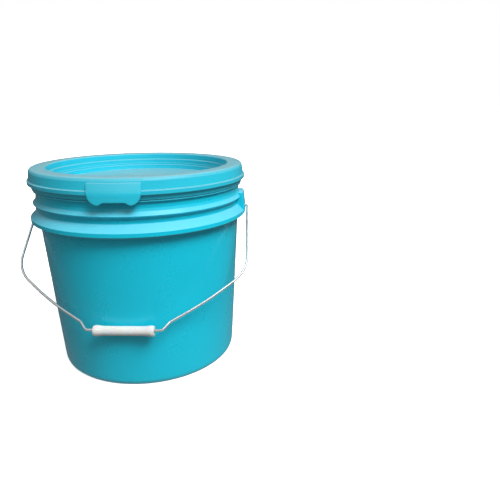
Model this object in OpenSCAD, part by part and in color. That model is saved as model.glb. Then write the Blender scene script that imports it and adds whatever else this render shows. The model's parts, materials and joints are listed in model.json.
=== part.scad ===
// Lidded plastic pail with a wire bail and a roller grip.
// Millimetres. +Z is up, the front of the pail faces -Y, and the origin is
// the centre of the base on the surface that the pail stands on.

/* [Pail] */
// Height of the open pail, from the foot to the top of its rim
pail_h = 285.6; // [270:0.1:300]
// Outer radius of the side wall at the base
base_r = 131.6; // [128:0.1:134]
// Height at which the plain side wall ends, below the lowest ring
wall_top = 214; // [205:0.5:215]
// Outer radius of the side wall where it ends
wall_top_r = 143.6; // [142:0.1:144]
// Thickness of the side wall
wall_t = 2.1; // [1.6:0.1:2.4]
// Radius of the rounded corner between base and side wall
corner_r = 5; // [3:0.5:8]

/* [Rings] */
// Outer radius of the neck, between the rings and the rim
neck_r = 145.2; // [145:0.1:145.5]
// Outer radius of the top bead, which the lid grips
bead_r = 147.6; // [147:0.1:147.8]
// Outer radius of the middle ring
mid_ring_r = 150; // [149:0.1:151]
// Height of the middle ring's edge
mid_ring_z = 244.4; // [243:0.1:246]
// Outer radius of the skirted ring
low_ring_r = 155; // [154:0.1:156]
// Height of the skirted ring's lower edge
low_ring_z = 219.2; // [218:0.1:221]
// Number of stiffening webs under the skirted ring
web_count = 24; // [12:2:36]

/* [Lid] */
// Height of the lid's flat top rim above the base
lid_top = 291.4; // [290.8:0.1:293]
// Outer radius of the lid at its widest, on the ledge of its skirt
lid_r = 154; // [153:0.1:155]
// Inner radius of the flat top rim, where the recess starts
recess_r = 127.5; // [125:0.5:131]
// Height of the recessed panel at its edge, on its upper side
panel_z = 266; // [264:0.5:268]
// Rise of the panel from its edge to its middle
panel_rise = 8; // [2:0.5:9]
// Width of the pull tab
tab_w = 65.5; // [50:0.5:80]
// Turn of the tab away from the front, about the pail's axis
tab_turn = 2.2; // [-20:0.1:20]

/* [Bail] */
// Diameter of the bail wire
wire_d = 3.6; // [3:0.1:4]
// Height of the bail's pivots
pivot_z = 228.6; // [226:0.1:231]
// Distance from the pail's axis to each leg of the bail, at the pivots
leg_x = 158.2; // [157.5:0.1:160]
// Distance from the pail's axis to the bail's shoulders
shoulder_x = 160.6; // [158.5:0.1:163]
// Distance from the pivots to the wire inside the grip
bail_drop = 198.8; // [192:0.1:204]
// Lean of the hanging bail from straight down, towards the front
bail_lean = 46.8; // [46.5:0.1:50]
// Sideways shift of the grip from the middle
grip_shift = 1.5; // [-4:0.5:4]

/* [Grip] */
// Length of the grip
grip_len = 80.5; // [70:0.5:84]
// Diameter of the grip between its thicker ends
grip_d = 13; // [12:0.1:14.6]
// How much the radius of the grip grows at its ends
grip_flare = 1; // [0:0.1:1.5]
// How far the loose grip hangs below the wire's centre
grip_hang = 1.2; // [0.5:0.1:1.4]

/* [Hidden] */

$fn = 96;
blue = [0.06, 0.66, 0.80];

// Radius of the inside of the pail at its rim, and at the end of the wall
mouth_r = neck_r - wall_t;
inner_top_r = wall_top_r - wall_t;
// Thickness of the floor, height of the foot ring and its inner radius
floor_t = 2.6;
foot_h = 2;
foot_in_r = 117;
// Ears that hold the bail: half width, thickness of their plate, and distance
// from the axis to its outer face, at the top and at the skirted ring
ear_half = 19;
ear_plate_t = 2.4;
ear_top_z = 250.6;
ear_top_x = 152.4;
ear_foot_x = low_ring_r + 0.1;
// Clearance of the wire in the ear's hole, and of the wire in the grip
pivot_gap = 0.1;
grip_gap = 0.05;
wire_r = wire_d / 2;

// Points of an arc of radius r about c from angle a to angle b in n steps
function arc(c, r, a, b, n) = [for (i = [0:n]) let (t = a + (b - a) * i / n) c + r * [cos(t), sin(t)]];

// Half section of the outside of the pail, from the foot up to the rim
function pail_outside() = concat(
    [[foot_in_r, 0]],
    arc([base_r - corner_r, corner_r], corner_r, -90, -3, 6),
    [[wall_top_r, wall_top], [wall_top_r + 0.8, wall_top + 3], [neck_r - 0.3, low_ring_z + 7]],
    // underside, skirt and sloping top of the lowest ring
    [[low_ring_r - 7.8, low_ring_z + 10.4], [low_ring_r - 2.8, low_ring_z + 4.8]],
    [[low_ring_r - 2.2, low_ring_z], [low_ring_r, low_ring_z]],
    [[low_ring_r, low_ring_z + 5.1], [low_ring_r - 0.4, low_ring_z + 5.9]],
    [[low_ring_r - 7.9, low_ring_z + 13.4], [low_ring_r - 9, low_ring_z + 14.1], [neck_r, low_ring_z + 14.9]],
    // middle ring: undercut below, concave flare above
    [[neck_r, mid_ring_z - 3.6], [mid_ring_r - 1.4, mid_ring_z - 1.2], [mid_ring_r - 0.2, mid_ring_z - 0.8]],
    [[mid_ring_r, mid_ring_z], [mid_ring_r - 0.4, mid_ring_z + 0.6]],
    arc([neck_r + 7, mid_ring_z + 8], 7, 242, 180, 6),
    // small bead just below the lid
    [[neck_r, 261], [neck_r + 2.7, 261.3], [neck_r + 3.3, 262.2], [neck_r + 2.7, 263.1], [neck_r, 263.4]],
    // top bead with a rounded edge
    [[neck_r, pail_h - 19], [bead_r - 0.6, pail_h - 17.4], [bead_r, pail_h - 16.4]],
    arc([bead_r - 1.2, pail_h - 1.2], 1.2, 0, 90, 4)
);

// Half section of the inside of the pail, from the rim down to the floor
function pail_inside() = concat(
    arc([mouth_r + 1.2, pail_h - 1.2], 1.2, 90, 180, 4),
    [[mouth_r - 0.3, low_ring_z + 18], [inner_top_r, wall_top]],
    arc([base_r - wall_t - corner_r + 0.5, foot_h + floor_t + corner_r], corner_r, -3, -90, 6),
    [[0, foot_h + floor_t], [0, foot_h], [foot_in_r - 1.5, foot_h]]
);

// One web under the skirted ring, thin plate from the wall to the skirt
module ring_web() {
    web_t = 1.5;
    rotate([90, 0, 0]) translate([0, 0, -web_t / 2]) linear_extrude(web_t)
        polygon([
            [wall_top_r - 0.4, low_ring_z + 1.2],
            [low_ring_r - 1.4, low_ring_z + 1.2],
            [low_ring_r - 1.6, low_ring_z + 5],
            [low_ring_r - 7.4, low_ring_z + 11.2],
            [neck_r - 0.8, low_ring_z + 11.2]
        ]);
}

// The block of one ear, on the +X side: it has a slanted face and a chamfered
// top, and ends level with the skirted ring's lower edge
module ear_block() {
    inner_x = 142.6;
    intersection() {
        rotate([90, 0, 0]) translate([0, 0, -ear_half]) linear_extrude(2 * ear_half)
            polygon([
                [inner_x, ear_top_z], [ear_top_x - 1.5, ear_top_z], [ear_top_x + 0.1, ear_top_z - 1.6],
                [ear_foot_x, low_ring_z + 6], [ear_foot_x, low_ring_z + 0.8],
                [ear_foot_x - 0.5, low_ring_z], [inner_x, low_ring_z]
            ]);
        translate([0, 0, 200]) linear_extrude(60)
            polygon([
                [inner_x, -ear_half], [152.6, -ear_half], [ear_foot_x + 0.3, -ear_half + 2.8],
                [ear_foot_x + 0.3, ear_half - 2.8], [152.6, ear_half], [inner_x, ear_half]
            ]);
    }
}

// The hollow behind one ear's plate, open below
module ear_pocket() {
    pocket_half = ear_half - 3;
    pocket_top = 245;
    rotate([90, 0, 0]) translate([0, 0, -pocket_half]) linear_extrude(2 * pocket_half)
        polygon([
            [neck_r + 0.4, 200], [ear_foot_x - ear_plate_t, 200],
            [ear_foot_x - ear_plate_t, low_ring_z + 6],
            [ear_top_x + 0.5 - ear_plate_t, pocket_top], [neck_r + 0.4, pocket_top]
        ]);
}

// Hole for the wire through both ears' plates
module pivot_holes() {
    for (side = [-1, 1])
        translate([side * (ear_foot_x - 1), 0, pivot_z]) rotate([0, 90, 0])
            cylinder(r = wire_r + pivot_gap, h = 8, center = true);
}

// Pail: one moulding with its rings, ears and foot
module pail_body() {
    color(blue) difference() {
        union() {
            rotate_extrude() polygon(concat(pail_outside(), pail_inside()));
            for (i = [0:web_count - 1]) let (turn = (i + 0.5) * 360 / web_count)
                if (abs(wall_top_r * sin(turn)) > ear_half + 2) rotate([0, 0, turn]) ring_web();
            ear_block();
            rotate([0, 0, 180]) ear_block();
        }
        ear_pocket();
        rotate([0, 0, 180]) ear_pocket();
        pivot_holes();
    }
}

// Half section of the lid, upper side from the middle out, then back below
lid_t = 1.8;
skirt_t = 1.7;
// Inner face of the skirt stands clear of the top bead at the snap ridge
snap_r = bead_r + 0.5;
channel_top = lid_top - lid_t;
plug_r = mouth_r - 0.5;
plug_bottom = 275;

// Height of the panel's upper side at radius r: a low smooth crown
function crown(r) = panel_z + panel_rise * (0.5 + 0.5 * cos(180 * r / (recess_r - 6)));

function lid_upper() = concat(
    [for (i = [0:10]) let (r = (recess_r - 6) * i / 10) [r, crown(r)]],
    // fillet and stepped wall of the recess
    arc([recess_r - 6, panel_z + 2.5], 2.5, -90, -12, 3),
    [[recess_r - 3.3, panel_z + 6.6], [recess_r - 2.6, panel_z + 7.3], [recess_r - 2.1, panel_z + 7.5]],
    [[recess_r - 2.0, panel_z + 9.8], [recess_r - 1.6, panel_z + 10.3]],
    [[recess_r - 1.5, panel_z + 15.2], [recess_r - 1.0, panel_z + 16.2], [recess_r + 0.2, panel_z + 16.6]],
    [[recess_r + 0.6, lid_top - 2.2]],
    arc([recess_r + 2.6, lid_top - 2], 2, 180, 90, 4),
    // flat top rim, rounded shoulder, skirt, its ledge and the band below
    arc([146.6, lid_top - 3.4], 3.4, 90, 20, 5),
    [[150.5, lid_top - 3.8], [lid_r - 2, 277.1], [lid_r - 0.6, 276], [lid_r, 275.2], [lid_r, 271.3]],
    [[lid_r - 0.5, 270.7], [lid_r - 4, 270.3], [lid_r - 4.4, 269.8], [lid_r - 4.6, 264.4], [lid_r - 4.9, 264]]
);

function lid_lower() = concat(
    [[snap_r + 0.3, 264], [snap_r, 265.2], [snap_r, 269.4], [snap_r + 0.8, 271.6], [lid_r - 1.9, 272.2]],
    [[lid_r - 1.8, 274.6], [lid_r - skirt_t - 2, 277], [150.5 - skirt_t, 285], [148.6, channel_top]],
    [[mouth_r - 0.1, channel_top], [plug_r, channel_top - 2], [plug_r - 0.6, plug_bottom]],
    [[plug_r - 1.6, plug_bottom], [plug_r - 1.8, channel_top - 1], [recess_r + 4, channel_top - 0.4]],
    [[recess_r + 2.3, channel_top - 2], [recess_r + 2.0, panel_z + 14.8], [recess_r + 0.4, panel_z + 13.8]],
    [[recess_r - 0.4, panel_z + 5.6], [recess_r - 2, panel_z]],
    arc([recess_r - 6, panel_z + 2.2], 4, -30, -90, 3),
    [for (i = [9:-1:0]) let (r = (recess_r - 6) * i / 10) [r, crown(r) - lid_t]]
);

// One web under the flat rim, between the plug and the wall of the recess
module rim_web() {
    web_t = 1.4;
    rotate([90, 0, 0]) translate([0, 0, -web_t / 2]) linear_extrude(web_t)
        polygon([
            [recess_r + 1, panel_z + 15.2], [recess_r + 1.2, channel_top + 0.6],
            [plug_r - 1.2, channel_top + 0.6], [plug_r - 1.2, plug_bottom + 4]
        ]);
}

// Right half of the pull tab's outline, from its straight lower edge through
// a soft step into a rounded foot, and round the corner up to the top
function tab_edge() =
    let (half = tab_w / 2, edge_z = 262.6, foot_drop = 3.3, foot_in = 13, edge_in = 20.5, corner_h = 16)
    concat(
        [for (i = [0:8]) let (u = i / 8)
            [half - edge_in + (edge_in - foot_in) * u, edge_z - foot_drop * (0.5 - 0.5 * cos(180 * u))]],
        [for (i = [1:14]) let (a = 90 * i / 14)
            [half - foot_in + foot_in * sin(a), edge_z - foot_drop + corner_h * (1 - cos(a))]],
        [[half, 286]]
    );

// Front outline of the pull tab, a thick plate along Y
module tab_outline() {
    edge = tab_edge();
    rotate([90, 0, 0]) linear_extrude(200)
        polygon(concat(edge, [for (i = [len(edge) - 1:-1:0]) [-edge[i][0], edge[i][1]]]));
}

// Pull tab: a curved plate that stands proud of the skirt and hangs below it
module pull_tab() {
    rotate([0, 0, tab_turn]) intersection() {
        rotate_extrude() polygon([
            [149.4, 286.2], [152.2, 286.2], [153, 285.4], [156.2, 273.4], [156.8, 258],
            [154.9, 258], [154.4, 271], [152.6, 273.4]
        ]);
        tab_outline();
    }
}

// Lid: press-on cover with a recessed panel, made in one piece with its tab
module lid() {
    web_n = 24;
    color(blue) union() {
        rotate_extrude() polygon(concat(lid_upper(), lid_lower()));
        for (i = [0:web_n - 1]) rotate([0, 0, (i + 0.5) * 360 / web_n]) rim_web();
        pull_tab();
    }
}

// Seal: soft ring in the top of the lid's channel, above the pail's rim
module lid_gasket() {
    seal_low = pail_h + 0.3;
    seal_high = channel_top - 0.05;
    color("ivory") rotate_extrude() polygon([
        [mouth_r + 0.5, seal_low + 0.5], [mouth_r + 1, seal_low], [bead_r - 0.5, seal_low],
        [bead_r, seal_low + 0.5], [bead_r, seal_high], [mouth_r + 0.5, seal_high]
    ]);
}

// Bail wire, drawn in the plane XY with the pivots on the X axis and the drop
// along -Y: a row of corners, each with the radius of its bend
head_x = 149.8;
head_t = 1.5;
head_r = 3.1;
pivot_bend = 2.5;
shoulder_drop = 111.9;
bow_x = 105.4;
bow_drop = 158.6;
knee_x = 59;
knee_drop = 187.4;
foot_x = knee_x - 8.5;
bail_corners = [
    [[-head_x - head_t / 2, 0], 0],
    [[-leg_x, 0], pivot_bend],
    [[-shoulder_x, -shoulder_drop], 51],
    [[-bow_x, -bow_drop], 400],
    [[-knee_x + grip_shift, -knee_drop], 9],
    [[-foot_x + grip_shift, -bail_drop], 6],
    [[foot_x + grip_shift, -bail_drop], 6],
    [[knee_x + grip_shift, -knee_drop], 9],
    [[bow_x, -bow_drop], 400],
    [[shoulder_x, -shoulder_drop], 51],
    [[leg_x, 0], pivot_bend],
    [[head_x + head_t / 2, 0], 0]
];

function heading(a, b) = atan2(b[1] - a[1], b[0] - a[0]);
function corner_turn(c, i) =
    let (t = heading(c[i][0], c[i + 1][0]) - heading(c[i - 1][0], c[i][0])) t - 360 * round(t / 360);
function cut_back(c, i) =
    (i == 0 || i == len(c) - 1) ? 0 : c[i][1] * tan(abs(corner_turn(c, i)) / 2);

// A round wire through the corners c, straight between bends. Each bend is a
// hair thicker than the runs, which end just inside it, so the pieces join.
module bent_wire(c, r) {
    bend_extra = 0.02;
    lap = 0.25;
    for (i = [0:len(c) - 2]) {
        dir = heading(c[i][0], c[i + 1][0]);
        start = cut_back(c, i) - (i == 0 ? 0 : lap);
        run = norm(c[i + 1][0] - c[i][0]) - start - cut_back(c, i + 1) + (i == len(c) - 2 ? 0 : lap);
        translate(c[i][0]) rotate([0, 0, dir]) translate([start, 0, 0]) rotate([0, 90, 0])
            cylinder(r = r, h = run, $fn = 32);
    }
    for (i = [1:len(c) - 2]) {
        dir = heading(c[i - 1][0], c[i][0]);
        turn = corner_turn(c, i);
        side = sign(turn);
        bend = c[i][1];
        translate(c[i][0]) rotate([0, 0, dir]) translate([-cut_back(c, i), side * bend, 0])
            rotate([0, 0, side > 0 ? -90 : 90 + turn]) rotate_extrude(angle = abs(turn))
                translate([bend, 0]) circle(r + bend_extra, $fn = 32);
    }
}

// Stands a piece that is drawn in the bail's plane at its hanging place
module hang() {
    translate([0, 0, pivot_z]) rotate([90 - bail_lean, 0, 0]) children();
}

// Bail: one bent wire with a headed end inside each ear
module bail_wire() {
    color("silver") hang() {
        bent_wire(bail_corners, wire_r);
        for (side = [-1, 1])
            translate([side * (head_x + head_t / 2), 0, 0]) rotate([0, 90, 0])
                cylinder(r = head_r, h = head_t, center = true);
    }
}

// Grip: loose tube on the wire, thicker towards its rounded ends
module grip_roller() {
    half = grip_len / 2;
    grip_r = grip_d / 2;
    end_r = grip_r + grip_flare;
    bore_r = wire_r + grip_hang + grip_gap;
    grip_y = -bail_drop * sin(bail_lean);
    grip_z = pivot_z - bail_drop * cos(bail_lean) - grip_hang;
    color("white") translate([grip_shift, grip_y, grip_z]) rotate([0, 90, 0]) rotate_extrude()
        polygon(concat(
            [[bore_r + 0.6, -half]],
            arc([end_r - 3, -half + 3], 3, -90, 0, 5),
            [[end_r, -half + 6], [grip_r + grip_flare / 2, -half + 10], [grip_r, -half + 14]],
            [[grip_r, half - 14], [grip_r + grip_flare / 2, half - 10], [end_r, half - 6]],
            arc([end_r - 3, half - 3], 3, 0, 90, 5),
            [[bore_r + 0.6, half], [bore_r, half - 0.6], [bore_r, -half + 0.6]]
        ));
}

pail_body();
lid();
lid_gasket();
bail_wire();
grip_roller();
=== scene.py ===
"""The looks of a lidded plastic fermenting pail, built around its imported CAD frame.

Lengths in the outlines are millimetres, turned into metres by MM when a mesh is made.
The pail's axis is Z, its base stands on z = 0 and its front faces -Y.
"""

import json
import math

import bmesh
import bpy
import numpy as np
from mathutils import Matrix, Vector
from mathutils.geometry import delaunay_2d_cdt


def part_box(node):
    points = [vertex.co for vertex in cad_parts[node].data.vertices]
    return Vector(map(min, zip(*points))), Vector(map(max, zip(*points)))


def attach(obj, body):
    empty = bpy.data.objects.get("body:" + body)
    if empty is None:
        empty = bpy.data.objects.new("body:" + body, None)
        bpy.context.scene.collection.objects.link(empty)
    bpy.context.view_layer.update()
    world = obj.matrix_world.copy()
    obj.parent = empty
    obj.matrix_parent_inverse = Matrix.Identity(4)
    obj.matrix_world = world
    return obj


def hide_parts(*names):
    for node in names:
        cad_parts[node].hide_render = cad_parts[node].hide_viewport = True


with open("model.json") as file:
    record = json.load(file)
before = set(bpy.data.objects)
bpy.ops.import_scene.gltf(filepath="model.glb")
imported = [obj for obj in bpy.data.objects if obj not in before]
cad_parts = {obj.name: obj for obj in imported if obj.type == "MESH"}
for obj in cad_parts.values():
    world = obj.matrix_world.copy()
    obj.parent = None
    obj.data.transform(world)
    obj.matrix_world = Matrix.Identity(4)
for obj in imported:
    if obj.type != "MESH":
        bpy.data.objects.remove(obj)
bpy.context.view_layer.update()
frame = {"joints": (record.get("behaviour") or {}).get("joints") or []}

MM = 0.001
TURNS = 288  # facets round the pail and the lid


# ---------------------------------------------------------------- sizes, in millimetres

def box_mm(node):
    """Low and high corner of a CAD node's box."""
    low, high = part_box(node)
    return low / MM, high / MM


pail_high = box_mm("pail_body")[1]
lid_high = box_mm("lid")[1]
gasket_low, gasket_high = box_mm("lid_gasket")
grip_low, grip_high = box_mm("grip_roller")
joints = {j["name"]: j for j in frame["joints"]}

RIM_Z = pail_high.z          # top of the open pail
RING_R = pail_high.y         # outer radius of the skirted ring
LID_TOP = lid_high.z         # top of the lid's flat rim
LID_R = lid_high.x           # widest radius of the lid
PIVOT_Z = joints["bail_swing"]["pos_m"][2] / MM
GRIP_Y, GRIP_WIRE_Z = (v / MM for v in joints["grip_spin"]["pos_m"][1:])
GRIP_SHIFT = joints["grip_spin"]["pos_m"][0] / MM
BAIL_DROP = math.hypot(GRIP_Y, PIVOT_Z - GRIP_WIRE_Z)
BAIL_LEAN = math.atan2(-GRIP_Y, PIVOT_Z - GRIP_WIRE_Z)

# the same driving sizes as the CAD's outlines: the pail's wall, neck, rings and base
BASE_R, WALL_TOP, WALL_TOP_R, WALL_T = 131.6, 214, 143.6, 2.1
WALL_FLARE = {14: 0.7, 52: 2.9, 92: 5.2, 132: 7.4, 172: 9.7}  # height: how far beyond BASE_R
NECK_R = RING_R - 9.8
BEAD_R = NECK_R + 2.4        # thick edge at the rim
MOUTH_R = NECK_R - WALL_T
RING_Z = 219.2               # bottom of the skirted ring
MID_R, MID_Z = 150, 244.4    # middle ring
LINE_Z, LINE_OUT = 262.2, 3.3  # small bead below the lid
FOOT_H, FLOOR_T, FOOT_IN_R = 2, 2.6, 117
RING_WEBS = 24

# ears, which hold the bail
EAR_HALF = 19
EAR_PLATE_T = 2.4
EAR_TOP_Z, EAR_TOP_X = 250.6, 152.4
EAR_FOOT_X = RING_R + 0.1
PIVOT_GAP = 0.1

# lid
LID_T = 1.8
RECESS_R = 127.5             # wall of the recess in the lid's top
PANEL_R = RECESS_R - 6       # panel in the recess, crowned by its rise
PANEL_Z, PANEL_RISE = 266, 8
SKIRT_Z = 264                # bottom of the skirt
LEDGE_Z = 275.6              # top of the ledge round the skirt
RIM_OUT_R = 149.0            # outer corner of the flat rim
SNAP_R = BEAD_R + 0.5        # ridge inside the skirt
PLUG_R = MOUTH_R - 0.5       # ring that dips into the pail's mouth
CHANNEL_Z = LID_TOP - LID_T  # roof of the channel that takes the pail's rim
RIM_WEBS = 24

# pull tab: its outline, and the radius of its outer face at three heights
TAB_W = 65.5
TAB_TURN = math.radians(2.2)
TAB_TOP = 286
TAB_EDGE = 262.6
TAB_FOOT_DROP = 3.3
TAB_T = 2.2
TAB_FACE_Z, TAB_FACE_R = [258, 273.4, 286.2], [156.8, 156.2, 152.5]

# bail: corners of one half as distance from the middle, drop below the pivots and radius of the bend
WIRE_R = 1.8
HEAD_X, HEAD_T, HEAD_R = 149.8, 1.5, 3.1
LEG, SHOULDER, BOW = (158.2, 0, 2.5), (160.6, 111.9, 51), (105.4, 158.6, 400)
KNEE, FOOT = (59, 187.4, 9), (50.5, BAIL_DROP, 6)

# grip: a loose tube that hangs on the wire
GRIP_HANG, GRIP_GAP = 1.2, 0.05
BORE_R = WIRE_R + GRIP_HANG + GRIP_GAP
GRIP_FLARE = 0.95
PARTING_RIDGE = 0.13


# ---------------------------------------------------------------- mesh helpers

def make_object(name, verts, faces):
    """A mesh object from points in millimetres."""
    mesh = bpy.data.meshes.new(name)
    mesh.from_pydata([tuple(c * MM for c in v) for v in verts], [], faces)
    mesh.validate()
    obj = bpy.data.objects.new(name, mesh)
    bpy.context.scene.collection.objects.link(obj)
    return obj


def smooth(obj, angle=42):
    """Smooth shading, with edges sharper than the angle left sharp."""
    mesh = obj.data
    mesh.shade_smooth()
    mesh.set_sharp_from_angle(angle=math.radians(angle))


def recalc(obj):
    """Turns all the faces to look outwards."""
    bm = bmesh.new()
    bm.from_mesh(obj.data)
    bmesh.ops.recalc_face_normals(bm, faces=bm.faces)
    bm.to_mesh(obj.data)
    bm.free()


def half_angle(back, ahead):
    """Half the angle of a corner between the directions of its two sides."""
    return 0.5 * math.acos(max(-1, min(1, back.dot(ahead))))


def corner_arc(here, back, ahead, cut):
    """The arc that rounds a corner from a cut along one side to the same cut along the other.

    Returns its centre, its radius, the angle where it starts and how far it turns.
    """
    half = half_angle(back, ahead)
    radius = cut * math.tan(half)
    centre = here + (back + ahead).normalized() * (radius / math.sin(half))
    start = here + back * cut - centre
    end = here + ahead * cut - centre
    angle = math.atan2(start.y, start.x)
    turn = (math.atan2(end.y, end.x) - angle + math.pi) % (2 * math.pi) - math.pi
    return centre, radius, angle, turn


def fillet(profile, steps=4):
    """Rounds the corners of an outline of (r, z, radius) points.

    Each rounded corner also gets a support point on the straight beside it, which keeps
    smooth shading from leaking across the flat faces.
    """
    out = []
    straight = math.radians(88)
    least_support = 0.05
    pts = [Vector((p[0], p[1])) for p in profile]
    for i, (r, z, radius) in enumerate(profile):
        here = pts[i]
        if radius <= 0 or i in (0, len(profile) - 1):
            out.append((r, z))
            continue
        back, ahead = pts[i - 1] - here, pts[i + 1] - here
        room = 0.45 * min(back.length, ahead.length)
        back.normalize()
        ahead.normalize()
        half = half_angle(back, ahead)
        if half > straight:
            out.append((r, z))
            continue
        cut = min(radius / math.tan(half), room)
        centre, radius, angle, turn = corner_arc(here, back, ahead, cut)
        support = min(0.5 * cut, 0.9 * (room - cut))
        if support > least_support:
            out.append(tuple(here + back * (cut + support)))
        for k in range(steps + 1):
            t = angle + turn * k / steps
            out.append((centre.x + radius * math.cos(t), centre.y + radius * math.sin(t)))
        if support > least_support:
            out.append(tuple(here + ahead * (cut + support)))
    return out


def bridge(rings):
    """Faces with four corners between each ring of points and the next."""
    n = len(rings[0])
    return [[a[k], a[(k + 1) % n], b[(k + 1) % n], b[k]]
            for a, b in zip(rings, rings[1:]) for k in range(n)]


def lathe(name, outline, turns=TURNS, closed=False, wobble=None):
    """Turns an outline of (r, z) points about Z. Points with r = 0 become one pole each."""
    verts, rings = [], []
    for r, z in outline:
        if r < 1e-6:
            rings.append([len(verts)] * turns)
            verts.append((0, 0, z))
            continue
        rings.append(list(range(len(verts), len(verts) + turns)))
        for k in range(turns):
            t = 2 * math.pi * k / turns
            rr = r + (wobble(t, z) if wobble else 0)
            verts.append((rr * math.cos(t), rr * math.sin(t), z))
    faces = []
    pairs = list(zip(rings, rings[1:])) + ([(rings[-1], rings[0])] if closed else [])
    for a, b in pairs:
        for k in range(turns):
            n = (k + 1) % turns
            face = []
            for v in (a[k], a[n], b[n], b[k]):
                if v not in face:
                    face.append(v)
            if len(face) > 2:
                faces.append(face)
    obj = make_object(name, verts, faces)
    recalc(obj)
    return obj


def prism(name, outline, along, bevel=0, segments=3):
    """Extrudes a closed outline of 3-D points in millimetres by a vector, with rounded edges."""
    shift = Vector(along)
    n = len(outline)
    verts = [Vector(p) for p in outline] + [Vector(p) + shift for p in outline]
    faces = [list(range(n)), list(range(2 * n - 1, n - 1, -1))]
    faces += [[i, (i + 1) % n, n + (i + 1) % n, n + i] for i in range(n)]
    obj = make_object(name, verts, faces)
    recalc(obj)
    if bevel:
        bm = bmesh.new()
        bm.from_mesh(obj.data)
        bmesh.ops.bevel(bm, geom=bm.edges[:], offset=bevel * MM, segments=segments, profile=0.5,
                        affect="EDGES")
        bm.to_mesh(obj.data)
        bm.free()
    return obj


def web(outline, thickness, angle):
    """A thin upright plate with an outline of (r, z) points, standing at an angle round the axis."""
    plate = prism("web", [(r, -thickness / 2, z) for r, z in outline], (0, thickness, 0))
    plate.data.transform(Matrix.Rotation(angle, 4, "Z"))
    return plate


def web_angles(count):
    """Evenly spread angles that leave the axes free."""
    return [2 * math.pi * (i + 0.5) / count for i in range(count)]


def join(objects):
    """One object from several, without changing their faces."""
    bm = bmesh.new()
    for o in objects:
        o.data.transform(o.matrix_world)
        bm.from_mesh(o.data)
    first = objects[0]
    bm.to_mesh(first.data)
    bm.free()
    first.matrix_world = Matrix.Identity(4)
    for o in objects[1:]:
        bpy.data.objects.remove(o)
    return first


def combine(obj, tool, operation):
    """Applies an exact boolean with the tool, and removes the tool."""
    mod = obj.modifiers.new("cut", "BOOLEAN")
    mod.object = tool
    mod.operation = operation
    mod.solver = "EXACT"
    bpy.context.view_layer.update()
    evaluated = obj.evaluated_get(bpy.context.evaluated_depsgraph_get())
    mesh = bpy.data.meshes.new_from_object(evaluated)
    obj.modifiers.clear()
    old = obj.data
    obj.data = mesh
    bpy.data.meshes.remove(old)
    bpy.data.objects.remove(tool)
    return obj


def tidy_mesh(obj, gap=0.004):
    """Merges doubled points and drops faces with no area, left over from booleans."""
    bm = bmesh.new()
    bm.from_mesh(obj.data)
    bmesh.ops.remove_doubles(bm, verts=bm.verts, dist=gap * MM)
    bmesh.ops.dissolve_degenerate(bm, dist=gap * MM, edges=bm.edges)
    bmesh.ops.recalc_face_normals(bm, faces=bm.faces)
    bm.to_mesh(obj.data)
    bm.free()


# ---------------------------------------------------------------- pail

def pail_profile():
    """Half section of the pail from under the floor, round the outside and down the inside."""
    under = [
        (0, FOOT_H, 0), (40, FOOT_H, 0), (80, FOOT_H, 0), (FOOT_IN_R - 1.5, FOOT_H, 0.8),
        (FOOT_IN_R, 0, 0.6), (BASE_R - 4.6, 0, 1.6), (BASE_R - 1.2, 3.6, 1.2), (BASE_R + 0.15, 7.5, 2.5),
    ]
    wall = [(BASE_R + growth, z, 0) for z, growth in WALL_FLARE.items()]
    rings = [
        (WALL_TOP_R, WALL_TOP, 1.5), (WALL_TOP_R + 0.8, WALL_TOP + 3, 2), (NECK_R - 0.3, RING_Z + 7, 1),
        (RING_R - 7.8, RING_Z + 10.4, 1), (RING_R - 2.8, RING_Z + 4.8, 1.2), (RING_R - 2.2, RING_Z, 0.5),
        (RING_R, RING_Z, 0.55), (RING_R, RING_Z + 5.5, 0.9), (RING_R - 7.9, RING_Z + 13.4, 2),
        (NECK_R, RING_Z + 14.9, 1.4),
        (NECK_R, MID_Z - 3.6, 1.2), (MID_R - 0.6, MID_Z - 1.1, 0.5), (MID_R, MID_Z + 0.3, 0.5),
        (NECK_R + 3.4, MID_Z + 2.0, 1.5), (NECK_R + 0.9, MID_Z + 5.0, 3), (NECK_R, MID_Z + 9, 4),
        (NECK_R, LINE_Z - 1.3, 0.5), (NECK_R + LINE_OUT, LINE_Z - 0.9, 0.8),
        (NECK_R + LINE_OUT, LINE_Z + 0.9, 0.8), (NECK_R, LINE_Z + 1.3, 0.5),
        (NECK_R, RIM_Z - 19, 1), (BEAD_R, RIM_Z - 17, 1), (BEAD_R, RIM_Z, 1.4),
    ]
    inside = [
        (MOUTH_R, RIM_Z, 1.4), (MOUTH_R - 0.3, RING_Z + 18, 0), (WALL_TOP_R - WALL_T, WALL_TOP, 4),
        (BASE_R + WALL_FLARE[132] - WALL_T, 132, 0), (BASE_R + WALL_FLARE[52] - WALL_T, 52, 0),
        (BASE_R - WALL_T + 0.3, FOOT_H + FLOOR_T, 5), (80, FOOT_H + FLOOR_T, 0), (40, FOOT_H + FLOOR_T, 0),
        (0, FOOT_H + FLOOR_T, 0),
    ]
    return fillet(under + wall + rings + inside)


def ear_block(side):
    """One ear: a slanted block with rounded edges, cut on the inside to end within the pail's wall."""
    inner, foot = 138, RING_Z - 0.03
    outline = [
        (inner, EAR_TOP_Z), (EAR_TOP_X, EAR_TOP_Z), (EAR_FOOT_X, RING_Z + 6),
        (EAR_FOOT_X, foot), (inner, foot),
    ]
    points = [(side * x, -EAR_HALF, z) for x, z in outline]
    ear = prism("ear", points, (0, 2 * EAR_HALF, 0), bevel=1.0)
    buried = WALL_T / 2
    low, high = 190, 262
    core = [
        (0, low), (WALL_TOP_R - 1.4 - buried, low), (WALL_TOP_R - buried, WALL_TOP),
        (NECK_R - buried, RING_Z + 6), (NECK_R - buried, high), (0, high),
    ]
    return combine(ear, lathe("core", core, turns=96), "DIFFERENCE")


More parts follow.
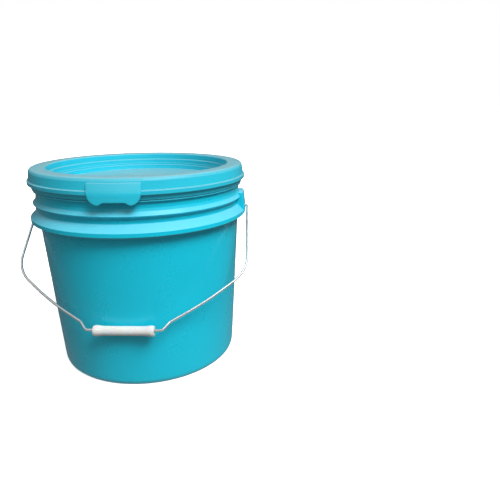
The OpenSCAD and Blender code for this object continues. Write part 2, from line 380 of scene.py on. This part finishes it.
def ear_pocket(side):
    """Tool for the hollow behind the ear's plate, open below."""
    half = EAR_HALF - 3
    low, top = 200, 245
    inner, outer = NECK_R + 0.4, EAR_FOOT_X - EAR_PLATE_T
    outline = [
        (inner, low), (outer, low), (outer, RING_Z + 6),
        (EAR_TOP_X + 0.5 - EAR_PLATE_T, top), (inner, top),
    ]
    points = [(side * x, -half, z) for x, z in outline]
    return prism("pocket", points, (0, 2 * half, 0), bevel=0.8)


def pivot_hole(side):
    """Tool for the hole of the bail's wire, with the small countersink that moulding leaves."""
    bore, sink, reach = WIRE_R + PIVOT_GAP, 0.5, 5
    surface = 1.6  # where the ear's face crosses the hole, past the start of the countersink
    outline = [
        (0, -reach), (bore, -reach), (bore, 0.9), (bore + sink, surface), (bore + sink, reach), (0, reach),
    ]
    hole = lathe("hole", outline, turns=48)
    face_at_pivot = np.interp(PIVOT_Z, [RING_Z + 6, EAR_TOP_Z], [EAR_FOOT_X, EAR_TOP_X])
    turn = Matrix.Rotation(math.radians(90), 4, "Y")
    if side < 0:
        turn = Matrix.Rotation(math.pi, 4, "Z") @ turn
    move = Matrix.Translation(Vector((side * (face_at_pivot - surface), 0, PIVOT_Z)) * MM)
    hole.data.transform(move @ turn)
    return hole


def ring_web(angle):
    """One thin web in the channel under the skirted ring."""
    outline = [
        (WALL_TOP_R - 0.4, RING_Z + 1.2), (RING_R - 1.4, RING_Z + 1.2), (RING_R - 1.6, RING_Z + 5),
        (RING_R - 7.4, RING_Z + 11.2), (NECK_R - 0.8, RING_Z + 11.2),
    ]
    return web(outline, 1.5, angle)


def build_pail():
    """The turned shell with its ears and webs, then the hollows and holes of the ears."""
    pail = lathe("pail_shell", pail_profile())
    clear_of_ears = [a for a in web_angles(RING_WEBS) if abs(math.sin(a)) * WALL_TOP_R > EAR_HALF + 2]
    parts = [ear_block(s) for s in (-1, 1)] + [ring_web(a) for a in clear_of_ears]
    combine(pail, join(parts), "UNION")
    combine(pail, join([ear_pocket(s) for s in (-1, 1)]), "DIFFERENCE")
    combine(pail, join([pivot_hole(s) for s in (-1, 1)]), "DIFFERENCE")
    tidy_mesh(pail)
    smooth(pail)
    return pail


# ---------------------------------------------------------------- lid

def crown(r):
    """Height of the panel's upper side: a low smooth crown."""
    return PANEL_Z + PANEL_RISE * (0.5 + 0.5 * math.cos(math.pi * r / PANEL_R))


def lid_profile():
    """Half section of the lid from its middle, over the top and back along the underside."""
    steps = 14
    radii = [PANEL_R * i / steps for i in range(steps + 1)]
    # gate mark in the middle: a shallow dish with a small raised nub
    top = crown(0)
    gate = [(0, top + 0.5, 0), (1.6, top + 0.45, 0.4), (2.2, top - 0.5, 0.5), (6.5, top - 0.5, 1.5),
            (8.5, top - 0.04, 1.5)]
    panel = [(r, crown(r), 0) for r in radii[2:steps]]
    upper = [
        (PANEL_R, PANEL_Z, 0), (RECESS_R - 3.4, PANEL_Z, 2.6),
        (RECESS_R - 3.0, PANEL_Z + 6.9, 0.5), (RECESS_R - 2.05, PANEL_Z + 7.4, 0.5),
        (RECESS_R - 1.95, PANEL_Z + 9.9, 0.3), (RECESS_R - 1.5, PANEL_Z + 10.2, 0.3),
        (RECESS_R - 1.3, PANEL_Z + 16, 1.0), (RECESS_R + 0.5, PANEL_Z + 16.5, 0.5),
        (RECESS_R + 0.7, LID_TOP, 2.0), (RECESS_R + 8, LID_TOP, 0),
        (RIM_OUT_R, LID_TOP, 3.2), (RIM_OUT_R + 1.7, LID_TOP - 4.2, 1.6),
        (LID_R - 1.9, LEDGE_Z + 0.8, 0.9), (LID_R, LEDGE_Z, 0.7),
        (LID_R, LEDGE_Z - 4.8, 0.6), (LID_R - 4.1, LEDGE_Z - 5.4, 0.8), (LID_R - 4.7, SKIRT_Z, 0.5),
    ]
    lower = [
        (SNAP_R, SKIRT_Z, 0.5), (SNAP_R, SKIRT_Z + 5.4, 0.8), (SNAP_R + 0.9, LEDGE_Z - 3.8, 0.6),
        (LID_R - 1.8, LEDGE_Z - 3.4, 0.6), (LID_R - 1.8, LEDGE_Z - 0.8, 0.8),
        (LID_R - 3.8, LEDGE_Z + 1.6, 0.8),
        (RIM_OUT_R - 0.2, LEDGE_Z + 9.4, 1), (RIM_OUT_R - 0.4, CHANNEL_Z, 0.5),
        (MOUTH_R - 0.1, CHANNEL_Z, 0.5), (PLUG_R, CHANNEL_Z - 2, 0.5),
        (PLUG_R - 0.6, LEDGE_Z - 0.6, 0.4), (PLUG_R - 1.6, LEDGE_Z - 0.6, 0.4),
        (PLUG_R - 1.8, CHANNEL_Z - 1, 0.5),
        (RECESS_R + 4, CHANNEL_Z - 0.4, 0.8), (RECESS_R + 2.3, CHANNEL_Z - 2, 0.8),
        (RECESS_R + 2.0, PANEL_Z + 14.8, 0.5), (RECESS_R + 0.4, PANEL_Z + 13.8, 0.5),
        (RECESS_R - 0.4, PANEL_Z + 5.6, 0.5), (RECESS_R - 2.2, PANEL_Z - LID_T, 2.5),
    ]
    under = [(r, crown(r) - LID_T, 0) for r in reversed(radii)]
    return fillet(gate + panel + upper + lower + under)


def tab_outline():
    """Outline of the pull tab in (x, z): straight lower edge, soft step, rounded foot, side, top."""
    half = TAB_W / 2
    foot = TAB_EDGE - TAB_FOOT_DROP
    foot_in, edge_in, corner_h, chamfer = 13, 20.5, 16, 1.5
    steps = 16
    right = []
    for k in range(steps + 1):
        u = k / steps
        drop = TAB_FOOT_DROP * (0.5 - 0.5 * math.cos(math.pi * u))
        right.append((half - edge_in + (edge_in - foot_in) * u, TAB_EDGE - drop))
    for k in range(1, steps + 1):
        a = math.pi / 2 * k / steps
        right.append((half - foot_in * (1 - math.sin(a)), foot + corner_h * (1 - math.cos(a))))
    right += [(half, TAB_TOP - chamfer), (half - chamfer, TAB_TOP)]
    left = [(-x, z) for x, z in reversed(right)]
    return resample(right + left, step=1.3)


def resample(ring, step):
    """Even spacing along a closed outline, keeping its shape."""
    pts = np.array(ring + ring[:1], float)
    seg = np.hypot(*np.diff(pts, axis=0).T)
    s = np.concatenate([[0], np.cumsum(seg)])
    n = int(s[-1] / step)
    t = np.arange(n) * s[-1] / n
    return list(zip(np.interp(t, s, pts[:, 0]), np.interp(t, s, pts[:, 1])))


def inset(ring, distance):
    """Moves a closed outline inwards along its smoothed normals."""
    p = np.array(ring)
    tangent = np.roll(p, -1, 0) - np.roll(p, 1, 0)
    tangent /= np.linalg.norm(tangent, axis=1)[:, None]
    normal = np.stack([-tangent[:, 1], tangent[:, 0]], 1)
    area = 0.5 * np.sum(p[:, 0] * np.roll(p[:, 1], -1) - np.roll(p[:, 0], -1) * p[:, 1])
    if area < 0:
        normal = -normal
    return [tuple(q) for q in p + normal * distance]


def inside(ring, x, z, margin):
    """True where a point is in the outline, at least a margin from its edge."""
    p = np.array(ring)
    q = np.roll(p, -1, 0)
    crosses = ((p[:, 1] > z) != (q[:, 1] > z)) & (
        x < (q[:, 0] - p[:, 0]) * (z - p[:, 1]) / (q[:, 1] - p[:, 1] + 1e-12) + p[:, 0])
    return bool(crosses.sum() % 2) and np.hypot(p[:, 0] - x, p[:, 1] - z).min() > margin


def tab_face_radius(z):
    """Radius of the tab's outer face at height z."""
    return float(np.interp(z, TAB_FACE_Z, TAB_FACE_R))


def on_tab(x, z, depth):
    """A point of the tab at a depth below its outer face; the face is curved about the pail's axis."""
    radius = tab_face_radius(z) - depth
    return (x, -math.sqrt(radius * radius - x * x), z)


def build_tab():
    """A curved plate with rounded edges; its thick root is buried in the lid's skirt."""
    ring = tab_outline()
    edge, back_edge = 0.8, 0.35
    bend = [math.radians(v) for v in (0, 22, 45, 68, 90)]
    # how far in from the outline and how deep below the face each row of the edge runs
    rows = [(back_edge, TAB_T), (0.0, TAB_T - back_edge)]
    rows += [(edge * (1 - math.cos(a)), edge * (1 - math.sin(a))) for a in bend]
    grid_step, grid_margin = 3.0, 1.2
    verts, rings = [], []
    for inward, depth in rows:
        rings.append(range(len(verts), len(verts) + len(ring)))
        verts += [on_tab(x, z, depth) for x, z in inset(ring, inward)]
    faces = bridge(rings)
    n = len(ring)
    # the inner and the outer face, filled with a grid of points so that they follow the curve
    for which, (inward, depth) in ((0, rows[0]), (-1, rows[-1])):
        rim = inset(ring, inward)
        low = np.min(rim, axis=0)
        high = np.max(rim, axis=0)
        grid = [(x, z) for x in np.arange(low[0] + grid_step, high[0] - 1, grid_step)
                for z in np.arange(low[1] + grid_step, high[1] - 1, grid_step)
                if inside(rim, x, z, grid_margin)]
        coords = [Vector(p) for p in rim] + [Vector(p) for p in grid]
        edges = [(k, (k + 1) % n) for k in range(n)]
        out_v, _, out_f, orig, _, _ = delaunay_2d_cdt(coords, edges, [list(range(n))], 1, 1e-4)
        index = {}
        for j, v in enumerate(out_v):
            source = orig[j][0] if orig[j] else None
            if source is not None and source < n:
                index[j] = rings[which][source]
            else:
                index[j] = len(verts)
                verts.append(on_tab(v.x, v.y, depth))
        faces += [[index[j] for j in f] for f in out_f]
    tab = make_object("tab", verts, faces)
    tidy_mesh(tab, gap=0.001)
    tab.data.transform(Matrix.Rotation(TAB_TURN, 4, "Z"))
    return tab


def rim_web(angle):
    """One thin web under the lid's flat rim."""
    outer, roof = PLUG_R - 1.2, CHANNEL_Z + 0.6
    outline = [(RECESS_R + 1, PANEL_Z + 15.2), (RECESS_R + 1.2, roof), (outer, roof), (outer, PANEL_Z + 13)]
    return web(outline, 1.4, angle)


def tab_root():
    """Fills the space between the tab's plate and the skirt, down to the lid's ledge."""
    top, foot = TAB_TOP - 0.7, LEDGE_Z - 4.2
    inner, outer = RIM_OUT_R + 0.6, LID_R + 1.3
    outline = [
        (inner, top), (inner + 2.2, top), (outer, LEDGE_Z - 1.7), (outer, foot),
        (outer - 2.4, foot), (outer - 2.7, LEDGE_Z - 1.1), (inner + 1.4, LEDGE_Z + 1.9),
    ]
    steps = 24
    reach = math.asin((TAB_W / 2 - 1.2) / (LID_R - 1))
    rings, verts = [], []
    for k in range(steps + 1):
        a = -math.pi / 2 - reach + 2 * reach * k / steps
        rings.append(range(len(verts), len(verts) + len(outline)))
        verts += [(r * math.cos(a), r * math.sin(a), z) for r, z in outline]
    faces = bridge(rings) + [list(rings[0]), list(reversed(rings[-1]))]
    root = make_object("root", verts, faces)
    recalc(root)
    root.data.transform(Matrix.Rotation(TAB_TURN, 4, "Z"))
    return root


def build_lid():
    """The turned cover with the webs under its rim and the pull tab."""
    lid = lathe("lid_cover", lid_profile())
    combine(lid, join([rim_web(a) for a in web_angles(RIM_WEBS)]), "UNION")
    combine(lid, tab_root(), "UNION")
    combine(lid, build_tab(), "UNION")
    tidy_mesh(lid)
    smooth(lid)
    return lid


def build_gasket():
    """Soft ring in the lid's channel, with a rounded lower lip."""
    inner, outer = MOUTH_R + 0.5, gasket_high.x
    top, lip = gasket_high.z, gasket_low.z
    outline = [(inner, top, 0), (outer, top, 0.4), (outer, lip, 1.1), (inner, lip, 1.1), (inner, top, 0)]
    gasket = lathe("gasket_ring", fillet(outline)[:-1], turns=192, closed=True)
    smooth(gasket)
    return gasket


# ---------------------------------------------------------------- bail and grip

def bail_path():
    """Centre line of the wire in the bail's plane, as (x, drop) points with bends as arcs."""
    arm = [(HEAD_X + HEAD_T / 2, 0, 0), LEG, SHOULDER, BOW]
    right = arm + [(x + GRIP_SHIFT, drop, bend) for x, drop, bend in (KNEE, FOOT)]
    left = arm + [(x - GRIP_SHIFT, drop, bend) for x, drop, bend in (KNEE, FOOT)]
    corners = [(-x, drop, bend) for x, drop, bend in left] + right[::-1]
    path = []
    for i, (x, y, radius) in enumerate(corners):
        here = Vector((x, y))
        if i in (0, len(corners) - 1):
            path.append(here)
            continue
        back = (Vector(corners[i - 1][:2]) - here).normalized()
        ahead = (Vector(corners[i + 1][:2]) - here).normalized()
        cut = radius / math.tan(half_angle(back, ahead))
        centre, radius, angle, turn = corner_arc(here, back, ahead, cut)
        segment = 1.2 + radius * 0.03  # wide bends need fewer points
        steps = max(4, round(abs(turn) * radius / segment))
        for k in range(steps + 1):
            t = angle + turn * k / steps
            path.append(centre + Vector((math.cos(t), math.sin(t))) * radius)
    return split_long(path, longest=6)


def split_long(path, longest):
    """The same path with its long straights divided."""
    out = [path[0]]
    for a, b in zip(path, path[1:]):
        parts = max(1, math.ceil((b - a).length / longest))
        out += [a.lerp(b, k / parts) for k in range(1, parts + 1)]
    return out


def in_bail(x, drop, out=0.0):
    """A point of the hanging bail, in the pail's frame; out is off its plane, to the front."""
    return Vector((x, -drop * math.sin(BAIL_LEAN) - out * math.cos(BAIL_LEAN),
                   PIVOT_Z - drop * math.cos(BAIL_LEAN) + out * math.sin(BAIL_LEAN)))


def build_wire():
    """Round wire swept along its path, with a rounded head upset on each end."""
    path = bail_path()
    sides = 20
    verts, rings = [], []
    last = len(path) - 1

    def add_ring(centre, across, radius):
        rings.append(range(len(verts), len(verts) + sides))
        for k in range(sides):
            t = 2 * math.pi * k / sides
            flat = centre + across * (radius * math.cos(t))
            verts.append(in_bail(flat.x, flat.y, radius * math.sin(t)))

    half_t, corner_r, side_r = HEAD_T / 2, HEAD_R - 0.7, HEAD_R - 0.15
    head = [
        (-half_t, 0.0), (-half_t, corner_r), (-0.6 * half_t, side_r), (0.0, HEAD_R), (0.6 * half_t, side_r),
        (half_t, corner_r), (half_t, WIRE_R),
    ]
    pole_r = 0.02
    for i, p in enumerate(path):
        a, b = path[max(0, i - 1)], path[min(last, i + 1)]
        along = (b - a).normalized()
        across = Vector((-along.y, along.x))
        if i == 0:
            for shift, radius in head:
                add_ring(p + along * shift, across, max(radius, pole_r))
        elif i == last:
            for shift, radius in reversed(head):
                add_ring(p - along * shift, across, max(radius, pole_r))
        else:
            add_ring(p, across, WIRE_R)
    faces = bridge(rings) + [list(rings[0]), list(reversed(rings[-1]))]
    wire = make_object("bail_rod", verts, faces)
    recalc(wire)
    smooth(wire, angle=50)
    return wire


def build_grip():
    """Loose plastic tube with fatter rounded ends and the fine parting line of its mould."""
    centre = (grip_low + grip_high) / 2
    half = (grip_high.x - grip_low.x) / 2
    end_r = (grip_high.z - grip_low.z) / 2 - PARTING_RIDGE - 0.01
    radius = end_r - GRIP_FLARE
    side = [
        (BORE_R, half - 1.0, 0), (BORE_R + 0.3, half, 0.5), (end_r - 0.6, half, 2.6),
        (end_r, half - 3.4, 3), (end_r - 0.05, half - 6, 4),
        (radius + 0.1, half - 12, 6), (radius, half - 15, 4), (radius - 0.05, 12, 0),
    ]
    outline = [(r, -x, bend) for r, x, bend in side] + side[::-1]

    def parting(t, z):
        """Height of the ridge on two opposite sides, at an angle t and a distance z from the middle."""
        if abs(z) > half - 1.5:
            return 0
        off = min(abs(t - math.pi / 2), abs(t - 3 * math.pi / 2))
        return PARTING_RIDGE * math.exp(-(off / 0.05) ** 2)

    grip = lathe("grip_tube", fillet(outline, steps=5), turns=96, closed=True, wobble=parting)
    lay = Matrix.Rotation(math.radians(90), 4, "Y")
    grip.data.transform(Matrix.Translation(centre * MM) @ lay)
    smooth(grip)
    return grip


# ---------------------------------------------------------------- materials

class Nodes:
    """Short names for building a material's node tree."""

    def __init__(self, name):
        self.material = bpy.data.materials.new(name)
        self.material.use_nodes = True
        self.tree = self.material.node_tree
        self.shader = self.tree.nodes["Principled BSDF"]
        where = self.add("ShaderNodeTexCoord")
        self.place = where.outputs["Object"]
        self.facing = where.outputs["Normal"]

    def add(self, kind, **settings):
        """A new node with its settings."""
        node = self.tree.nodes.new(kind)
        for key, value in settings.items():
            setattr(node, key, value)
        return node

    def link(self, out, socket):
        """Joins the output of one node to a socket of another."""
        self.tree.links.new(out, socket)

    def noise(self, scale, detail=3, roughness=0.5, stretch=(1, 1, 1)):
        """Noise fixed to the piece, finer along an axis with a larger stretch."""
        mapping = self.add("ShaderNodeMapping")
        mapping.inputs["Scale"].default_value = stretch
        self.link(self.place, mapping.inputs["Vector"])
        node = self.add("ShaderNodeTexNoise")
        node.inputs["Scale"].default_value = scale
        node.inputs["Detail"].default_value = detail
        node.inputs["Roughness"].default_value = roughness
        self.link(mapping.outputs["Vector"], node.inputs["Vector"])
        return node.outputs["Fac"]

    def ramp(self, value, low, high, out_low, out_high):
        """Maps low..high to out_low..out_high, and holds the ends."""
        node = self.add("ShaderNodeMapRange")
        node.inputs["From Min"].default_value = low
        node.inputs["From Max"].default_value = high
        node.inputs["To Min"].default_value = out_low
        node.inputs["To Max"].default_value = out_high
        self.link(value, node.inputs["Value"])
        return node.outputs["Result"]

    def mix(self, factor, a, b):
        """Mixes two colours, each a fixed one or a node's output."""
        node = self.add("ShaderNodeMix", data_type="RGBA")
        self.link(factor, node.inputs[0])
        for socket, value in ((node.inputs[6], a), (node.inputs[7], b)):
            if isinstance(value, tuple):
                socket.default_value = (*value, 1)
            else:
                self.link(value, socket)
        return node.outputs[2]

    def math(self, operation, a, b=None):
        """A sum, product or other operation on numbers or node outputs."""
        node = self.add("ShaderNodeMath", operation=operation)
        for socket, value in zip(node.inputs, (a, b)):
            if value is None:
                continue
            if isinstance(value, (int, float)):
                socket.default_value = value
            else:
                self.link(value, socket)
        return node.outputs[0]

    def bump(self, height, strength, distance, under=None):
        """A normal with fine relief, on top of another one where under is given."""
        node = self.add("ShaderNodeBump")
        node.inputs["Strength"].default_value = strength
        node.inputs["Distance"].default_value = distance
        self.link(height, node.inputs["Height"])
        if under is not None:
            self.link(under, node.inputs["Normal"])
        return node.outputs["Normal"]

    def set(self, **values):
        """Sets fixed values of the shader, named as its sockets with _ for a space."""
        for key, value in values.items():
            self.shader.inputs[key.replace("_", " ")].default_value = value


def scratches(m, count_scale, thinness, angle):
    """Fine straight scuffs: stretched noise, cut to its crests."""
    mapping = m.add("ShaderNodeMapping")
    mapping.inputs["Rotation"].default_value = (0, angle, angle * 0.7)
    mapping.inputs["Scale"].default_value = (count_scale * 14, count_scale * 14, count_scale)
    m.link(m.place, mapping.inputs["Vector"])
    node = m.add("ShaderNodeTexNoise")
    node.inputs["Scale"].default_value = 1
    node.inputs["Detail"].default_value = 2
    m.link(mapping.outputs["Vector"], node.inputs["Vector"])
    return m.ramp(node.outputs["Fac"], thinness, thinness + 0.03, 0, 1)


def moulded_plastic(name, base, deep, rough, dust_sheen_shade_colour, dust_sheen_shade_strength):
    """Glossy moulded polyethylene: faint flow clouding, orange peel, hairline scuffs.

    Faces that look up are mixed towards a given colour, by up to a given strength: partly dust, partly a
    painted grey reflection on top faces, which on the lid is also darker as painted shade.
    """
    m = Nodes(name)
    clouds = m.ramp(m.noise(9, 4, 0.55, (1, 1, 0.45)), 0.35, 0.65, 0, 1)
    colour = m.mix(clouds, base, deep)
    scuff = m.math("MAXIMUM", scratches(m, 9, 0.72, 0.5), scratches(m, 12, 0.73, -0.9))
    patches = m.ramp(m.noise(14, 2), 0.50, 0.66, 0, 1)
    scuff = m.math("MULTIPLY", scuff, patches)
    pale = tuple(min(1, c * 0.75 + 0.22) for c in base)
    colour = m.mix(m.math("MULTIPLY", scuff, 0.05), colour, pale)
    split = m.add("ShaderNodeSeparateXYZ")
    m.link(m.facing, split.inputs[0])
    # Painted grey reflection and painted shade on faces that look up, partly dust too: the mask grows with
    # how far the face looks up.
    dust_sheen_shade_mask = m.ramp(split.outputs["Z"], 0.15, 0.95, 0, dust_sheen_shade_strength)
    dust_sheen_shade_mask = m.math("MULTIPLY", dust_sheen_shade_mask, m.ramp(m.noise(35, 4, 0.6), 0.3, 0.7, 0.85, 1))
    colour = m.mix(dust_sheen_shade_mask, colour, dust_sheen_shade_colour)
    m.link(colour, m.shader.inputs["Base Color"])
    smear = m.ramp(m.noise(22, 5, 0.6), 0.35, 0.7, rough, rough + 0.09)
    wear = m.math("ADD", m.math("MULTIPLY", scuff, 0.05), m.math("MULTIPLY", dust_sheen_shade_mask, 0.25))
    m.link(m.math("ADD", smear, wear), m.shader.inputs["Roughness"])
    peel = m.noise(420, 2, 0.5)
    grain = m.noise(1900, 2, 0.5)
    low = m.bump(peel, 0.03, 0.0003)
    fine = m.bump(grain, 0.04, 0.0002, low)
    m.link(m.bump(scuff, 0.02, 0.00003, fine), m.shader.inputs["Normal"])
    m.set(IOR=1.5, Subsurface_Weight=0.1, Subsurface_Scale=0.003, Coat_Weight=0.3, Coat_Roughness=0.05)
    m.shader.inputs["Subsurface Radius"].default_value = (0.3, 0.8, 1.0)
    return m.material


def zinc_wire(name):
    """Bright drawn steel wire with a thin zinc coat: die lines, dull patches, a few dark specks."""
    m = Nodes(name)
    dull = m.ramp(m.noise(60, 4, 0.6), 0.38, 0.66, 0, 1)
    colour = m.mix(dull, (0.95, 0.95, 0.95), (0.84, 0.85, 0.85))
    specks = m.ramp(m.noise(700, 2), 0.68, 0.74, 0, 1)
    colour = m.mix(specks, colour, (0.30, 0.30, 0.30))
    m.link(colour, m.shader.inputs["Base Color"])
    m.link(m.ramp(m.noise(90, 4, 0.6), 0.3, 0.7, 0.18, 0.34), m.shader.inputs["Roughness"])
    lines = m.noise(160, 3, 0.6, (1, 14, 14))
    m.link(m.bump(lines, 0.10, 0.0001), m.shader.inputs["Normal"])
    m.set(Metallic=0.95, Anisotropic=0.2)
    return m.material


def white_grip(name):
    """Soft white plastic: faint yellowing, finger smudges, fine moulded grain."""
    m = Nodes(name)
    tone = m.ramp(m.noise(40, 4, 0.55), 0.35, 0.7, 0, 1)
    colour = m.mix(tone, (0.62, 0.65, 0.64), (0.57, 0.61, 0.59))
    marks = m.ramp(m.noise(260, 3), 0.66, 0.74, 0, 1)
    colour = m.mix(m.math("MULTIPLY", marks, 0.35), colour, (0.54, 0.56, 0.55))
    m.link(colour, m.shader.inputs["Base Color"])
    m.link(m.ramp(m.noise(120, 4, 0.6), 0.3, 0.7, 0.38, 0.52), m.shader.inputs["Roughness"])
    m.link(m.bump(m.noise(1500, 3), 0.10, 0.00025), m.shader.inputs["Normal"])
    m.set(IOR=1.48, Subsurface_Weight=0.7, Subsurface_Scale=0.008)
    return m.material


def soft_seal(name):
    """Foamed ivory seal: matte, with fine open cells."""
    m = Nodes(name)
    tone = m.ramp(m.noise(80, 3), 0.35, 0.65, 0, 1)
    m.link(m.mix(tone, (0.80, 0.77, 0.68), (0.70, 0.67, 0.58)), m.shader.inputs["Base Color"])
    m.link(m.ramp(m.noise(300, 3), 0.3, 0.7, 0.75, 0.92), m.shader.inputs["Roughness"])
    m.link(m.bump(m.noise(1400, 3), 0.3, 0.0003), m.shader.inputs["Normal"])
    return m.material


def pale_floor(name):
    """Matt white ground that glows a little, so that shadows on it stay faint."""
    m = Nodes(name)
    tone = m.ramp(m.noise(3, 3), 0.3, 0.7, 0, 1)
    m.link(m.mix(tone, (0.90, 0.90, 0.90), (0.885, 0.885, 0.89)), m.shader.inputs["Base Color"])
    m.link(m.ramp(m.noise(5, 3), 0.3, 0.7, 0.75, 0.85), m.shader.inputs["Roughness"])
    m.set(Specular_IOR_Level=0.15, Emission_Strength=0.68)
    m.shader.inputs["Emission Color"].default_value = (1, 1, 1, 1)
    return m.material


# ---------------------------------------------------------------- pieces on their bodies

def dress(obj, material, body, slot, *nodes):
    """Gives a piece its material, its moving body and the CAD nodes that it stands for."""
    obj.data.materials.clear()
    obj.data.materials.append(material)
    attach(obj, body)
    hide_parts(*nodes)


# Third colour of each is the tint of faces that look up, partly dust, partly painted light: on the pail a
# painted grey reflection, on the lid a painted grey reflection with painted shade, darker than its blue.
PAIL_BLUE, PAIL_DEEP, PAIL_DUST_SHEEN = (0.003, 0.545, 0.715), (0.002, 0.515, 0.685), (0.21, 0.50, 0.61)
LID_BLUE, LID_DEEP, LID_DUST_SHEEN_SHADE = (0.020, 0.510, 0.665), (0.017, 0.485, 0.640), (0.17, 0.30, 0.33)

pail_plastic = moulded_plastic("pail_plastic", PAIL_BLUE, PAIL_DEEP, 0.26, PAIL_DUST_SHEEN, 0.6)
lid_plastic = moulded_plastic("lid_plastic", LID_BLUE, LID_DEEP, 0.30, LID_DUST_SHEEN_SHADE, 0.8)
dress(build_pail(), pail_plastic, "pail", "pail_plastic", "pail_body")
dress(build_lid(), lid_plastic, "lid", "lid_plastic", "lid")
dress(build_gasket(), soft_seal("seal_foam"), "lid", "seal_rubber", "lid_gasket")
dress(build_wire(), zinc_wire("zinc_wire"), "bail", "bail_steel", "bail_wire")
dress(build_grip(), white_grip("grip_plastic"), "grip", "grip_plastic", "grip_roller")


# ---------------------------------------------------------------- floor, light, camera

def add_floor():
    """A pale ground plane. It neither lights the pail nor shows in it, which keeps its sides dark."""
    half_m = 30
    bm = bmesh.new()
    bmesh.ops.create_grid(bm, x_segments=4, y_segments=4, size=half_m)
    mesh = bpy.data.meshes.new("floor")
    bm.to_mesh(mesh)
    bm.free()
    floor = bpy.data.objects.new("floor", mesh)
    bpy.context.scene.collection.objects.link(floor)
    floor.data.materials.append(pale_floor("floor_white"))
    floor.visible_glossy = False
    floor.visible_diffuse = False


def aim(obj, target):
    """Turns a light to face a point."""
    way = Vector(target) - obj.location
    obj.rotation_euler = way.to_track_quat("-Z", "Y").to_euler()


def softbox(name, place, width, height, radiance):
    """A white rectangular light, pointed at the middle of the pail."""
    light = bpy.data.lights.new(name, "AREA")
    light.shape = "RECTANGLE"
    light.size, light.size_y = width, height
    light.energy = radiance * math.pi * width * height
    obj = bpy.data.objects.new(name, light)
    obj.location = place
    bpy.context.scene.collection.objects.link(obj)
    aim(obj, (0, 0, 0.2))


def sun(name, place, strength, angle):
    """A wide soft source far away, left out of reflections, where it would show as a hard streak."""
    light = bpy.data.lights.new(name, "SUN")
    light.energy = strength
    light.angle = math.radians(angle)
    obj = bpy.data.objects.new(name, light)
    obj.location = place
    obj.visible_glossy = False
    bpy.context.scene.collection.objects.link(obj)
    aim(obj, (0, 0, 0))


def add_world(low, horizon, high):
    """Surrounding light, dark at the horizon; past the floor the camera sees plain white."""
    world = bpy.data.worlds.new("studio")
    bpy.context.scene.world = world
    world.use_nodes = True
    tree = world.node_tree
    light = tree.nodes["Background"]
    light.inputs["Color"].default_value = (1, 1, 1, 1)
    place = tree.nodes.new("ShaderNodeTexCoord")
    split = tree.nodes.new("ShaderNodeSeparateXYZ")
    tree.links.new(place.outputs["Generated"], split.inputs[0])
    halves = []
    for near, far, strength in ((-0.35, -0.9, low), (0.1, 0.8, high)):
        fade = tree.nodes.new("ShaderNodeMapRange")
        fade.inputs["From Min"].default_value = near
        fade.inputs["From Max"].default_value = far
        fade.inputs["To Min"].default_value = horizon
        fade.inputs["To Max"].default_value = strength
        tree.links.new(split.outputs["Z"], fade.inputs["Value"])
        halves.append(fade.outputs["Result"])
    both = tree.nodes.new("ShaderNodeMath")
    both.operation = "MAXIMUM"
    for socket, half in zip(both.inputs, halves):
        tree.links.new(half, socket)
    tree.links.new(both.outputs[0], light.inputs["Strength"])
    seen = tree.nodes.new("ShaderNodeBackground")
    seen.inputs["Color"].default_value = (1, 1, 1, 1)
    seen.inputs["Strength"].default_value = 1.0
    path = tree.nodes.new("ShaderNodeLightPath")
    mix = tree.nodes.new("ShaderNodeMixShader")
    tree.links.new(path.outputs["Is Camera Ray"], mix.inputs[0])
    tree.links.new(light.outputs[0], mix.inputs[1])
    tree.links.new(seen.outputs[0], mix.inputs[2])
    tree.links.new(mix.outputs[0], tree.nodes["World Output"].inputs["Surface"])


def add_camera():
    """A viewpoint a little above the lid and to the right of the front, angles in radians."""
    place = Vector((0.1834, -0.7041, 0.3762))
    pitch, yaw, roll = 0.3011, -0.0302, -0.0049
    sensor_mm, lens_mm = 36, 34.4232
    forward = Vector((math.sin(yaw) * math.cos(pitch), math.cos(yaw) * math.cos(pitch), -math.sin(pitch)))
    right = Vector((math.cos(yaw), -math.sin(yaw), 0))
    up = right.cross(forward)
    x_axis = right * math.cos(roll) + up * math.sin(roll)
    y_axis = up * math.cos(roll) - right * math.sin(roll)
    camera = bpy.data.cameras.new("camera")
    camera.sensor_width = sensor_mm
    camera.lens = lens_mm
    camera.dof.use_dof = False
    obj = bpy.data.objects.new("camera", camera)
    bpy.context.scene.collection.objects.link(obj)
    turn = Matrix((x_axis, y_axis, -forward)).transposed()
    obj.matrix_world = Matrix.Translation(place) @ turn.to_4x4()
    bpy.context.scene.camera = obj


add_floor()
add_world(low=0.42, horizon=0.12, high=0.60)
sun("key", place=(0.430, -0.416, 0.80), strength=3.1, angle=26)
softbox("top_box", place=(0.85, -0.95, 1.75), width=1.3, height=1.0, radiance=2.6)
softbox("front_box", place=(0.62, -1.22, 1.25), width=3.0, height=1.6, radiance=0.40)
softbox("back_box", place=(-0.1, 1.7, 2.0), width=3.0, height=1.0, radiance=0.8)
add_camera()
bpy.context.scene.view_settings.view_transform = "Standard"
